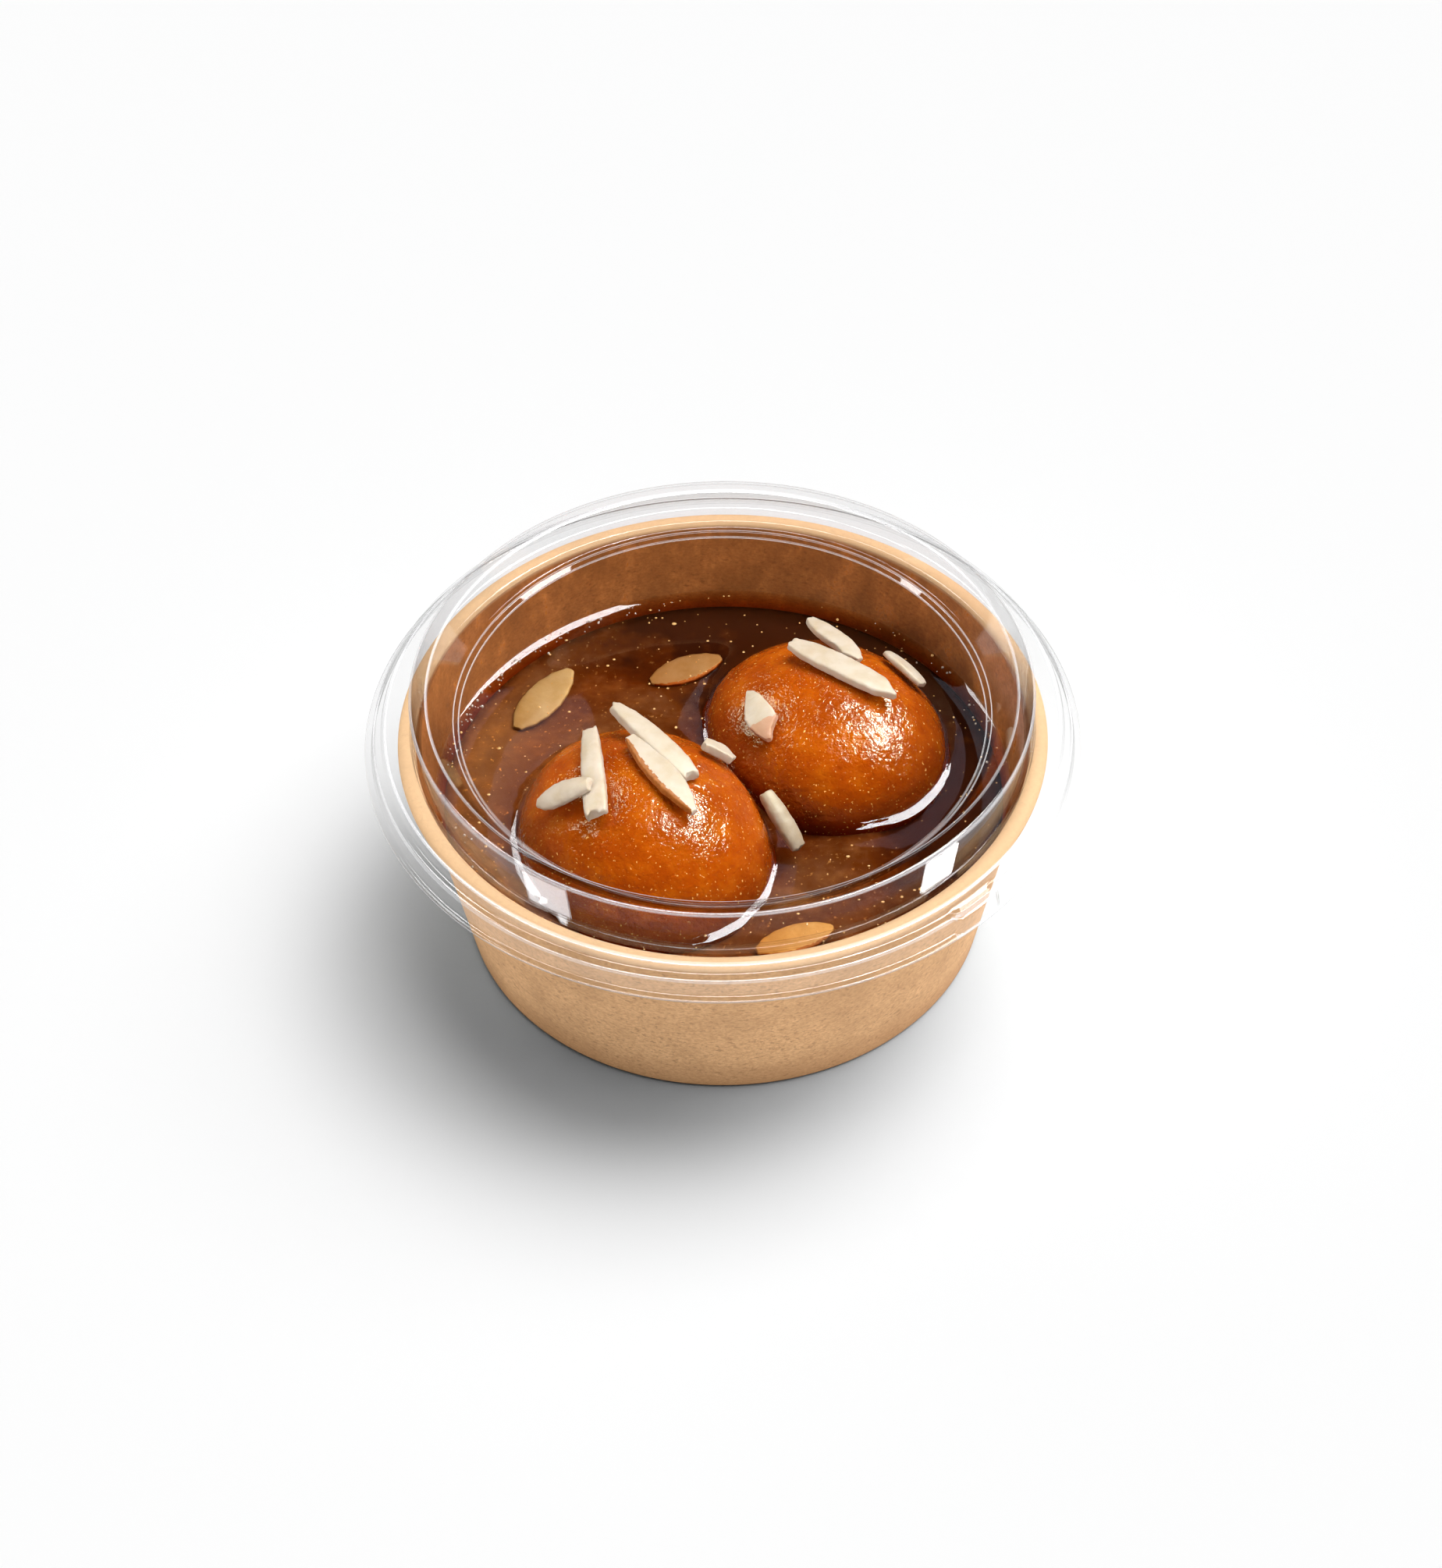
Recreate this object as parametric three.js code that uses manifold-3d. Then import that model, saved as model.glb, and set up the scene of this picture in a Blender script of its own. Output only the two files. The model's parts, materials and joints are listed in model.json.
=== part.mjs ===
// Two gulab jamuns half sunk in syrup, topped with slivered almonds, in a round kraft paper bowl with a clear lid.
// Units are millimetres, +Z is up, the bowl stands on z = 0 and its axis is the Z axis.
import * as THREE from 'three';
import { mergeVertices } from 'three/addons/utils/BufferGeometryUtils.js';
import Module from 'manifold-3d';

// Bowl
const BASE_R = 47.9;
const BASE_BEVEL = 0.5;
const FLOOR_Z = 0.8;
const PAPER = 0.6;
const RIM_R = 56.5;
const RIM_Z = 42.0;
const RIM_HALF_W = 1.6;
const RIM_HALF_H = 1.05;

// Lid
const PANEL_R = 47.3;
const PANEL_Z = 46.4;
const PANEL_DOME = 0.4;
const RING_IN_R = 52.5;
const RING_OUT_R = 55.3;
const RING_Z = 53.3;
const GROOVE_R = 54.0;
const GROOVE_Z = 43.3;
const SHOULDER_IN_R = 56.2;
const SHOULDER_OUT_R = 60.1;
const SHOULDER_Z = 46.4;
const SKIRT_R = 62.2;
const LIP_R = 64.0;
const LIP_Z = 41.2;
const LID_T = 0.45;
const TAB_AZ = -47;
const TAB_W = 9.0;
const TAB_H = 2.4;
const TAB_D = 1.2;

// Contents
const SYRUP_Z = 26.5;
const GAP = 0.32;
const ROUND_SEGS = 52;

const FRONT = {
  centre: [-14.3, -12.7, 24.0],
  long: 26.6,
  short: 22.8,
  up: 18.8,
  low: 22.6,
  yaw: -62,
  press: [0.857, 0.515, 0],
  pressAt: 21.1,
  phase: 0.6,
  uneven: 0.25,
};
const BACK = {
  centre: [19.0, 13.8, 24.0],
  long: 25.8,
  short: 22.1,
  up: 14.5,
  low: 22.6,
  yaw: -58,
  press: [-0.857, -0.515, 0],
  pressAt: 20.35,
  phase: 2.1,
  uneven: 0.25,
};

// Each almond lies on a jamun at azimuth az and elevation el seen from the jamun's centre.
// heading turns it on the skin, pitch raises its head end, lift is the height of its middle above the skin.
const ON_JAMUNS = [
  { name: 'almond_front_long', on: FRONT, az: 79.2, el: 62.5, heading: 150.9, lift: 1.7, pitch: -8,
    shape: { length: 22.0, width: 3.8, thick: 2.2, tail: 0.3, head: 0.75, bow: 0.5 } },
  { name: 'almond_front_skin', on: FRONT, az: 1.6, el: 79.7, heading: -171.7, lift: 1.25, pitch: 0,
    shape: { length: 21.3, width: 4.6, thick: 1.5, tail: 0.3, head: 0.25, bow: 0.5 } },
  { name: 'almond_front_upright', on: FRONT, az: 168.8, el: 64.2, heading: 14.9, lift: 1.35, pitch: 0,
    shape: { length: 22.2, width: 4.0, thick: 1.9, tail: 0.6, head: 0.65, bow: 0.6 } },
  { name: 'almond_front_short', on: FRONT, az: -168.9, el: 50.6, heading: 69.7, lift: 2.5, pitch: 8,
    shape: { length: 11.7, width: 4.8, thick: 1.6, tail: 0.25, head: 0.4, bow: 0.2 } },
  { name: 'almond_chip_gap', on: FRONT, az: 38.7, el: 39.8, heading: -111.7, lift: 1.4, pitch: 0,
    shape: { length: 5.8, width: 4.8, thick: 1.8, tail: 0.6, head: 0.7, bow: 0 } },
  { name: 'almond_back_long', on: BACK, az: 51.9, el: 70.3, heading: 176.6, lift: 1.3, pitch: 0,
    shape: { length: 23.5, width: 5.0, thick: 1.6, tail: 0.3, head: 0.25, bow: 0.6 } },
  { name: 'almond_back_behind', on: BACK, az: 82.3, el: 40.3, heading: 137.9, lift: 1.5, pitch: -8,
    shape: { length: 15.7, width: 4.2, thick: 1.7, tail: 0.35, head: 0.5, bow: 0.3 } },
  { name: 'almond_back_side', on: BACK, az: 31.0, el: 30.1, heading: -170.6, lift: 1.3, pitch: 0,
    shape: { length: 9.8, width: 3.8, thick: 1.5, tail: 0.3, head: 0.35, bow: 0.2 } },
  { name: 'almond_back_chip', on: BACK, az: -156.4, el: 42.6, heading: -14.6, lift: 1.1, pitch: 0,
    shape: { length: 12.0, width: 5.6, thick: 1.3, tail: 0.25, head: 0.25, bow: 0.3 } },
];
const LEANING = {
  name: 'almond_between',
  tailAt: [7.5, -8.3, 34.0],
  headAt: [13.3, -16.3, 28.1],
  shape: { width: 3.2, thick: 2.3, tail: 0.5, head: 0.7, bow: 0.1 },
};

const rad = THREE.MathUtils.degToRad;
const vec = (p) => new THREE.Vector3(...p);

function material(name, color, roughness, opacity = 1) {
  const m = new THREE.MeshStandardMaterial({ color, roughness, metalness: 0 });
  m.name = name;
  if (opacity < 1) {
    m.transparent = true;
    m.opacity = opacity;
  }
  return m;
}

// A solid of revolution about Z from points [r, z]; the outline ends on the axis or closes on itself.
function revolve(outline, segs = ROUND_SEGS) {
  const points = outline.map(([r, z]) => new THREE.Vector2(r, z));
  const geo = new THREE.LatheGeometry(points, segs);
  geo.rotateX(Math.PI / 2);
  return geo;
}

// Points of an elliptical arc in the [r, z] plane, from angle a to angle b in degrees.
function arc(r, z, halfW, halfH, a, b, steps) {
  const out = [];
  for (let i = 0; i <= steps; i++) {
    const t = rad(a + ((b - a) * i) / steps);
    out.push([r + halfW * Math.cos(t), z + halfH * Math.sin(t)]);
  }
  return out;
}

function bowlOutline() {
  const wallTopR = RIM_R - RIM_HALF_W + PAPER;
  const wallR = (z) => BASE_R + ((wallTopR - BASE_R) * z) / RIM_Z;
  const outerTop = RIM_Z - 0.75;
  return [
    [0, 0],
    [BASE_R - BASE_BEVEL, 0],
    [wallR(BASE_BEVEL), BASE_BEVEL],
    [wallR(outerTop), outerTop],
    ...arc(RIM_R, RIM_Z, RIM_HALF_W, RIM_HALF_H, -110, 180, 9),
    [wallR(FLOOR_Z + 1.2) - PAPER, FLOOR_Z + 1.2],
    [wallR(FLOOR_Z) - PAPER - 1.0, FLOOR_Z],
    [0, FLOOR_Z],
  ];
}

// The lid's middle line from the centre of the panel to the edge of the lip.
function lidLine() {
  return [
    [0, PANEL_Z + PANEL_DOME],
    [PANEL_R * 0.5, PANEL_Z + PANEL_DOME * 0.7],
    [PANEL_R, PANEL_Z],
    [PANEL_R + 1.4, PANEL_Z + 0.7],
    [RING_IN_R - 0.4, RING_Z - 0.7],
    [RING_IN_R + 0.5, RING_Z],
    [RING_OUT_R - 0.6, RING_Z],
    [RING_OUT_R, RING_Z - 0.7],
    [GROOVE_R - 0.15, GROOVE_Z + 0.6],
    [GROOVE_R + 0.4, GROOVE_Z],
    [GROOVE_R + 1.1, GROOVE_Z + 0.7],
    [SHOULDER_IN_R - 0.75, SHOULDER_Z - 0.7],
    [SHOULDER_IN_R, SHOULDER_Z],
    [SHOULDER_OUT_R - 0.5, SHOULDER_Z],
    [SHOULDER_OUT_R + 0.4, SHOULDER_Z - 1.0],
    [SKIRT_R - 0.3, SHOULDER_Z - 2.0],
    [SKIRT_R, SHOULDER_Z - 2.8],
    [SKIRT_R + 0.4, LIP_Z + 0.5],
    [SKIRT_R + 1.0, LIP_Z],
    [LIP_R, LIP_Z],
  ];
}

// Thickens an open line in the [r, z] plane by t, half to each side, into a closed outline.
function thicken(line, t) {
  const over = [];
  const under = [];
  line.forEach((p, i) => {
    const a = line[Math.max(i - 1, 0)];
    const b = line[Math.min(i + 1, line.length - 1)];
    const d = Math.hypot(b[0] - a[0], b[1] - a[1]);
    const n = [-(b[1] - a[1]) / d, (b[0] - a[0]) / d];
    const onAxis = p[0] === 0;
    over.push([onAxis ? 0 : p[0] + (n[0] * t) / 2, p[1] + (n[1] * t) / 2]);
    under.push([onAxis ? 0 : p[0] - (n[0] * t) / 2, p[1] - (n[1] * t) / 2]);
  });
  return [...under, ...over.reverse()];
}

function jamunRadius(j, d) {
  const c = Math.cos(rad(j.yaw));
  const s = Math.sin(rad(j.yaw));
  const x = d.x * c + d.y * s;
  const y = -d.x * s + d.y * c;
  const tall = d.z >= 0 ? j.up : j.low;
  const egg = 1 / Math.sqrt((x / j.long) ** 2 + (y / j.short) ** 2 + (d.z / tall) ** 2);
  const waves = Math.sin(3 * d.x + 2 * d.y + j.phase) * Math.cos(2.5 * d.z + 0.7 * j.phase);
  const ripple = Math.sin(5 * d.y - 4 * d.z + 2 * j.phase);
  const r = egg + j.uneven * (waves + 0.5 * ripple);
  const lean = Math.max(d.dot(vec(j.press)), 0.001);
  const limit = j.pressAt / lean;
  const m = Math.min(r, limit);
  const k = 0.7;
  return m - k * Math.log(Math.exp((m - r) / k) + Math.exp((m - Math.min(limit, m + 60)) / k));
}

function onJamun(j, d, grow = 0) {
  return vec(j.centre).addScaledVector(d, jamunRadius(j, d) + grow);
}

function jamun(j, grow = 0, around = 24, rings = 12) {
  const pos = [];
  const index = [];
  pos.push(...onJamun(j, vec([0, 0, -1]), grow).toArray());
  for (let i = 1; i < rings; i++) {
    const el = -90 + (180 * i) / rings;
    for (let k = 0; k < around; k++) {
      pos.push(...onJamun(j, direction((360 * k) / around, el), grow).toArray());
    }
  }
  pos.push(...onJamun(j, vec([0, 0, 1]), grow).toArray());
  closeRings(index, rings - 1, around);
  return solid(pos, index);
}

// Joins a bottom point, rings of points and a top point into a closed skin.
function closeRings(index, rings, around) {
  const top = rings * around + 1;
  for (let k = 0; k < around; k++) {
    const n = (k + 1) % around;
    index.push(0, 1 + n, 1 + k);
    for (let i = 0; i < rings - 1; i++) {
      const a = 1 + i * around;
      const b = a + around;
      index.push(a + k, a + n, b + n);
      index.push(a + k, b + n, b + k);
    }
    index.push(top, top - around + k, top - around + n);
  }
}

function solid(pos, index) {
  const geo = new THREE.BufferGeometry();
  geo.setAttribute('position', new THREE.Float32BufferAttribute(pos, 3));
  geo.setIndex(index);
  geo.computeVertexNormals();
  return geo;
}

function direction(az, el) {
  const c = Math.cos(rad(el));
  return new THREE.Vector3(c * Math.cos(rad(az)), c * Math.sin(rad(az)), Math.sin(rad(el)));
}

// An almond sliver along X: its half width falls from the middle to the tail and head fractions at its ends.
function almond({ length, width, thick, tail, head, bow }) {
  const stations = 7;
  const around = 8;
  const pos = [[-length / 2 - 0.12, 0, -bow]];
  const index = [];
  for (let i = 0; i < stations; i++) {
    const t = -1 + (2 * i) / (stations - 1);
    const end = t < 0 ? tail : head;
    const fall = Math.abs(t) ** 2.2;
    const w = (width / 2) * (1 - (1 - end) * fall);
    const h = (thick / 2) * (1 - 0.35 * fall);
    for (let k = 0; k < around; k++) {
      const a = (2 * Math.PI * k) / around;
      const c = Math.cos(a);
      const s = Math.sin(a);
      const y = w * Math.sign(c) * Math.abs(c) ** 0.6;
      const z = h * Math.sign(s) * Math.abs(s) ** 0.6;
      pos.push([(t * length) / 2, y, z - bow * t * t]);
    }
  }
  pos.push([length / 2 + 0.12, 0, -bow]);
  closeRings(index, stations, around);
  return solid(pos.flat(), index);
}

// Places an almond by its middle and three axes: along, across and outward.
function place(geo, middle, along, outward) {
  const across = new THREE.Vector3().crossVectors(outward, along);
  const m = new THREE.Matrix4().makeBasis(along, across, outward);
  m.setPosition(middle);
  return geo.applyMatrix4(m);
}

function skinAt(j, az, el) {
  const d = direction(az, el);
  const east = new THREE.Vector3(0, 0, 1).cross(d).normalize();
  const north = new THREE.Vector3().crossVectors(d, east);
  const near = (a, b) => {
    const v = d.clone().addScaledVector(east, a).addScaledVector(north, b);
    return onJamun(j, v.normalize());
  };
  const h = 0.02;
  const n = near(h, 0).sub(near(-h, 0)).cross(near(0, h).sub(near(0, -h)));
  return { point: onJamun(j, d), normal: n.normalize() };
}

function almondOnJamun({ on, az, el, heading, lift, pitch, shape }) {
  const { point, normal } = skinAt(on, az, el);
  const e1 = new THREE.Vector3(0, 0, 1).cross(normal).normalize();
  const e2 = new THREE.Vector3().crossVectors(normal, e1);
  const flat = e1.multiplyScalar(Math.cos(rad(heading))).addScaledVector(e2, Math.sin(rad(heading)));
  const p = rad(pitch);
  const along = flat.clone().multiplyScalar(Math.cos(p)).addScaledVector(normal, Math.sin(p));
  const outward = normal.clone().multiplyScalar(Math.cos(p)).addScaledVector(flat, -Math.sin(p));
  return place(almond(shape), point.addScaledVector(normal, lift), along, outward);
}

function leaningAlmond({ tailAt, headAt, shape }) {
  const a = vec(tailAt);
  const b = vec(headAt);
  const along = b.clone().sub(a).normalize();
  const side = new THREE.Vector3(0, 0, 1).cross(along).normalize();
  const outward = new THREE.Vector3().crossVectors(along, side);
  const middle = a.clone().add(b).multiplyScalar(0.5);
  return place(almond({ ...shape, length: a.distanceTo(b) }), middle, along, outward);
}

const wasm = await Module();
wasm.setup();

function toManifold(geo) {
  const g = geo.clone();
  g.deleteAttribute('normal');
  g.deleteAttribute('uv');
  const merged = mergeVertices(g, 1e-4);
  return new wasm.Manifold(new wasm.Mesh({
    numProp: 3,
    vertProperties: new Float32Array(merged.attributes.position.array),
    triVerts: new Uint32Array(merged.index.array),
  }));
}

function fromManifold(body) {
  const mesh = body.getMesh();
  return solid(Array.from(mesh.vertProperties), Array.from(mesh.triVerts));
}

// The tab is a rounded block standing out from the skirt just above the lip.
function tabBlock() {
  const outline = new THREE.Shape();
  const w = TAB_W / 2;
  const h = TAB_H / 2;
  const r = 1.0;
  outline.absarc(w - r, h - r, r, 0, Math.PI / 2);
  outline.absarc(-w + r, h - r, r, Math.PI / 2, Math.PI);
  outline.absarc(-w + r, -h + r, r, Math.PI, 1.5 * Math.PI);
  outline.absarc(w - r, -h + r, r, 1.5 * Math.PI, 2 * Math.PI);
  const geo = new THREE.ExtrudeGeometry(outline, { depth: TAB_D + 0.4, bevelEnabled: false, curveSegments: 3 });
  geo.rotateX(Math.PI / 2);
  geo.rotateZ(Math.PI);
  geo.translate(0, SKIRT_R - 0.3, LIP_Z + 0.2 + h);
  geo.rotateZ(rad(TAB_AZ - 90));
  return geo;
}

function syrup() {
  const inner = (z) => BASE_R + ((RIM_R - RIM_HALF_W + PAPER - BASE_R) * z) / RIM_Z - PAPER - GAP;
  const foot = FLOOR_Z + GAP;
  const pool = revolve([
    [0, foot],
    [inner(foot) - 1.1, foot],
    [inner(foot + 1.3), foot + 1.3],
    [inner(SYRUP_Z), SYRUP_Z],
    [0, SYRUP_Z],
  ]);
  const cut = toManifold(pool)
    .subtract(toManifold(jamun(FRONT, GAP)))
    .subtract(toManifold(jamun(BACK, GAP)));
  return fromManifold(cut);
}

const group = new THREE.Group();
group.name = 'gulab_jamun';

function addPart(name, geo, mat) {
  const mesh = new THREE.Mesh(geo, mat);
  mesh.name = name;
  group.add(mesh);
}

addPart('bowl', revolve(bowlOutline()), material('kraft', 0xc59a68, 0.85));
addPart('lid', fromManifold(toManifold(revolve(thicken(lidLine(), LID_T))).add(toManifold(tabBlock()))),
  material('clear_lid', 0xf2f4f5, 0.05, 0.2));
addPart('syrup', syrup(), material('syrup', 0x3a1606, 0.05, 0.85));
addPart('jamun_front', jamun(FRONT), material('jamun', 0xa8420c, 0.3));
addPart('jamun_back', jamun(BACK), material('jamun', 0xa8420c, 0.3));
for (const spec of ON_JAMUNS) {
  addPart(spec.name, almondOnJamun(spec), material('almond', 0xf0dcb4, 0.5));
}
addPart(LEANING.name, leaningAlmond(LEANING), material('almond', 0xf0dcb4, 0.5));

export default group;
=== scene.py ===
import json
import math

import bpy
import numpy as np
from mathutils import Matrix, Vector, noise
from mathutils.bvhtree import BVHTree

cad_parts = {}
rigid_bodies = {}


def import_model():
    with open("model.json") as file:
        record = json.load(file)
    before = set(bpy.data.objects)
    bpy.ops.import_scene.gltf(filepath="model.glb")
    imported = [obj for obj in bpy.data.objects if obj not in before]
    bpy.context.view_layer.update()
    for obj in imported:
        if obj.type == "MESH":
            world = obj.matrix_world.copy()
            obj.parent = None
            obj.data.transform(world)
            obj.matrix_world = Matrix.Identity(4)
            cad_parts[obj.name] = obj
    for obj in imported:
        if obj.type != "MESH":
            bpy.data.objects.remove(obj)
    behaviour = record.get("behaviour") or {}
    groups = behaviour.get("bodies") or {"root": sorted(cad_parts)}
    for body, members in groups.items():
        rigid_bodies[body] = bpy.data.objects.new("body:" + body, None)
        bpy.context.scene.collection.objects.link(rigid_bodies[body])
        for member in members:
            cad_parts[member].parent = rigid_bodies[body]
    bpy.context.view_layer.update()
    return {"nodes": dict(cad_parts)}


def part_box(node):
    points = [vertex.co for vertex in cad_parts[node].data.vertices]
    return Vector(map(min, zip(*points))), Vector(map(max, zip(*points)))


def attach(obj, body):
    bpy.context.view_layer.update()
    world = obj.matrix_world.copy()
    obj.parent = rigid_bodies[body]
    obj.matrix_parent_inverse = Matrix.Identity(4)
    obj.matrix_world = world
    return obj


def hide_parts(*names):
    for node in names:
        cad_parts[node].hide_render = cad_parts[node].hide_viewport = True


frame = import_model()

MM = 0.001
ROUND_SEGS = 256

# Sizes are in millimetres. The heights and radii that the frame gives are read from it.
BOWL_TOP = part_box("bowl")[1].z / MM
RIM_OUT_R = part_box("bowl")[1].x / MM
BASE_R = 47.9
FLOOR_Z = 0.8
PAPER = 0.6
RIM_HALF_W = 1.6
RIM_HALF_H = 1.05
RIM_R = RIM_OUT_R - RIM_HALF_W
RIM_Z = BOWL_TOP - RIM_HALF_H
SYRUP_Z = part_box("syrup")[1].z / MM
SYRUP_INTO_WALL = 0.12  # the syrup reaches this far into the paper, so that no air gap shows

LID_T = 0.4  # thinner than the CAD lid, so that it stays inside it
LIP_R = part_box("lid")[1].x / MM - 0.02
LIP_Z = 41.2
RING_Z = 53.3
PANEL_Z = 46.4
GROOVE_Z = 43.2
SHOULDER_Z = 46.4
SKIRT_TOP_R = 60.9
SKIRT_R = 62.5
TAB_AZ = -47
TAB_HALF_LENGTH = 4.6
TAB_BULGE = 1.1

# Sharp bends of the lid, which get a white painted highlight: near radius, far radius and height.
LID_BENDS = (
    (46.85, 47.12, PANEL_Z),
    (47.72, 48.0, PANEL_Z),
    (52.1, 52.6, RING_Z),
    (54.9, 55.35, RING_Z),
    (59.9, 60.4, SHOULDER_Z),
    (62.0, 62.5, SHOULDER_Z - 2.5),
    (63.6, 64.1, LIP_Z),
)
# The lid's ring: the radii of both its walls and of the outer one; where that one has fine ribs, as a middle
# and a half width in degrees; and the calm stretch between the ribs, which mirrors little.
RING_WALLS = (48.6, 55.4)
RING_OUTER_WALL = (53.6, 55.6)
RIBBED = ((-123.5, 4.6), (-48.2, 4.0))
CALM = (-118.9, -52.2)

# Almond slices under the syrup: tail and head as (x, y, depth), width, and tint.
SUNK_ALMONDS = (
    ((-38.4, 18.2, 2.7), (-28.7, 33.4, 2.0), 7.4, (1.0, 1.12, 1.15)),
    ((-13.4, 30.4, 3.0), (0.0, 36.6, 2.7), 7.0, (0.66, 0.60, 0.56)),
    ((5.4, -38.2, 2.7), (18.9, -33.2, 2.0), 6.6, (1.1, 0.84, 0.42)),
)
# Foam along the wall: number of bubbles, middle azimuth, spread in degrees, and spread away from the wall.
FOAM_ZONES = ((44, 158, 22, 1.2), (26, 120, 20, 1.5), (16, 35, 25, 1.4), (14, 195, 12, 3))
SPECK_COUNT = 380

rng = np.random.default_rng(7)
noise.seed_set(7)  # otherwise the vector noise differs from run to run


# ---------- mesh helpers ----------


def clamp(x):
    """x kept from 0 to 1."""
    return max(0.0, min(1.0, x))


def on_circle(r, angle):
    """The point (x, y) at a radius and an angle in radians."""
    return r * math.cos(angle), r * math.sin(angle)


def make_object(name, verts_mm, faces, mats, slot):
    """A mesh object from points in millimetres, riding on the one body."""
    mesh = bpy.data.meshes.new(name)
    mesh.from_pydata([tuple(v) for v in np.asarray(verts_mm, float) * MM], [], faces)
    mesh.validate()
    mesh.shade_smooth()
    for m in mats:
        mesh.materials.append(m)
    obj = bpy.data.objects.new(name, mesh)
    bpy.context.scene.collection.objects.link(obj)
    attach(obj, "root")
    return obj


def fillet(corners, steps=6):
    """Rounds a polyline in the (r, z) plane. Each corner is (r, z, radius); radius 0 keeps it sharp."""
    pts = []
    n = len(corners)
    for i, (r, z, rad) in enumerate(corners):
        p = Vector((r, z))
        if rad == 0 or i in (0, n - 1):
            pts.append(p)
            continue
        back = Vector(corners[i - 1][:2]) - p
        ahead = Vector(corners[i + 1][:2]) - p
        a, b = back.normalized(), ahead.normalized()
        half = a.angle(b) / 2
        cut = rad / math.tan(half)
        room = 0.48 * min(back.length, ahead.length)
        if cut > room:
            rad *= room / cut
            cut = room
        centre = p + (a + b).normalized() * (rad / math.sin(half))
        start = p + a * cut - centre
        end = p + b * cut - centre
        turn = start.angle_signed(end)
        for k in range(steps + 1):
            v = start.copy()
            v.rotate(Matrix.Rotation(-turn * k / steps, 2))
            pts.append(centre + v)
    return [(p.x, p.y) for p in pts]


def thicken(line, t):
    """Turns an open (r, z) line that starts on the axis into a closed outline t thick."""
    over, under = [], []
    for i, p in enumerate(line):
        a = line[max(i - 1, 0)]
        b = line[min(i + 1, len(line) - 1)]
        d = math.hypot(b[0] - a[0], b[1] - a[1])
        nr, nz = -(b[1] - a[1]) / d * t / 2, (b[0] - a[0]) / d * t / 2
        on_axis = p[0] == 0
        over.append((0 if on_axis else p[0] + nr, p[1] + nz))
        under.append((0 if on_axis else p[0] - nr, p[1] - nz))
    return under + over[::-1]


def revolve(outline, segs=ROUND_SEGS, warp=None):
    """Spins an outline of (r, z) points that starts and ends on the axis.
    warp moves a ring point (r, angle, z)."""
    verts = [(0, 0, outline[0][1])]
    rings = outline[1:-1]
    for r, z in rings:
        for k in range(segs):
            a = 2 * math.pi * k / segs
            rr, zz = warp(r, a, z) if warp else (r, z)
            verts.append((*on_circle(rr, a), zz))
    verts.append((0, 0, outline[-1][1]))
    faces = []
    top = len(verts) - 1
    for k in range(segs):
        n = (k + 1) % segs
        faces.append((0, 1 + n, 1 + k))
        for i in range(len(rings) - 1):
            a = 1 + i * segs
            b = a + segs
            faces.append((a + k, a + n, b + n, b + k))
        faces.append((top, top - segs + k, top - segs + n))
    return verts, faces


# ---------- material helpers ----------


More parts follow.
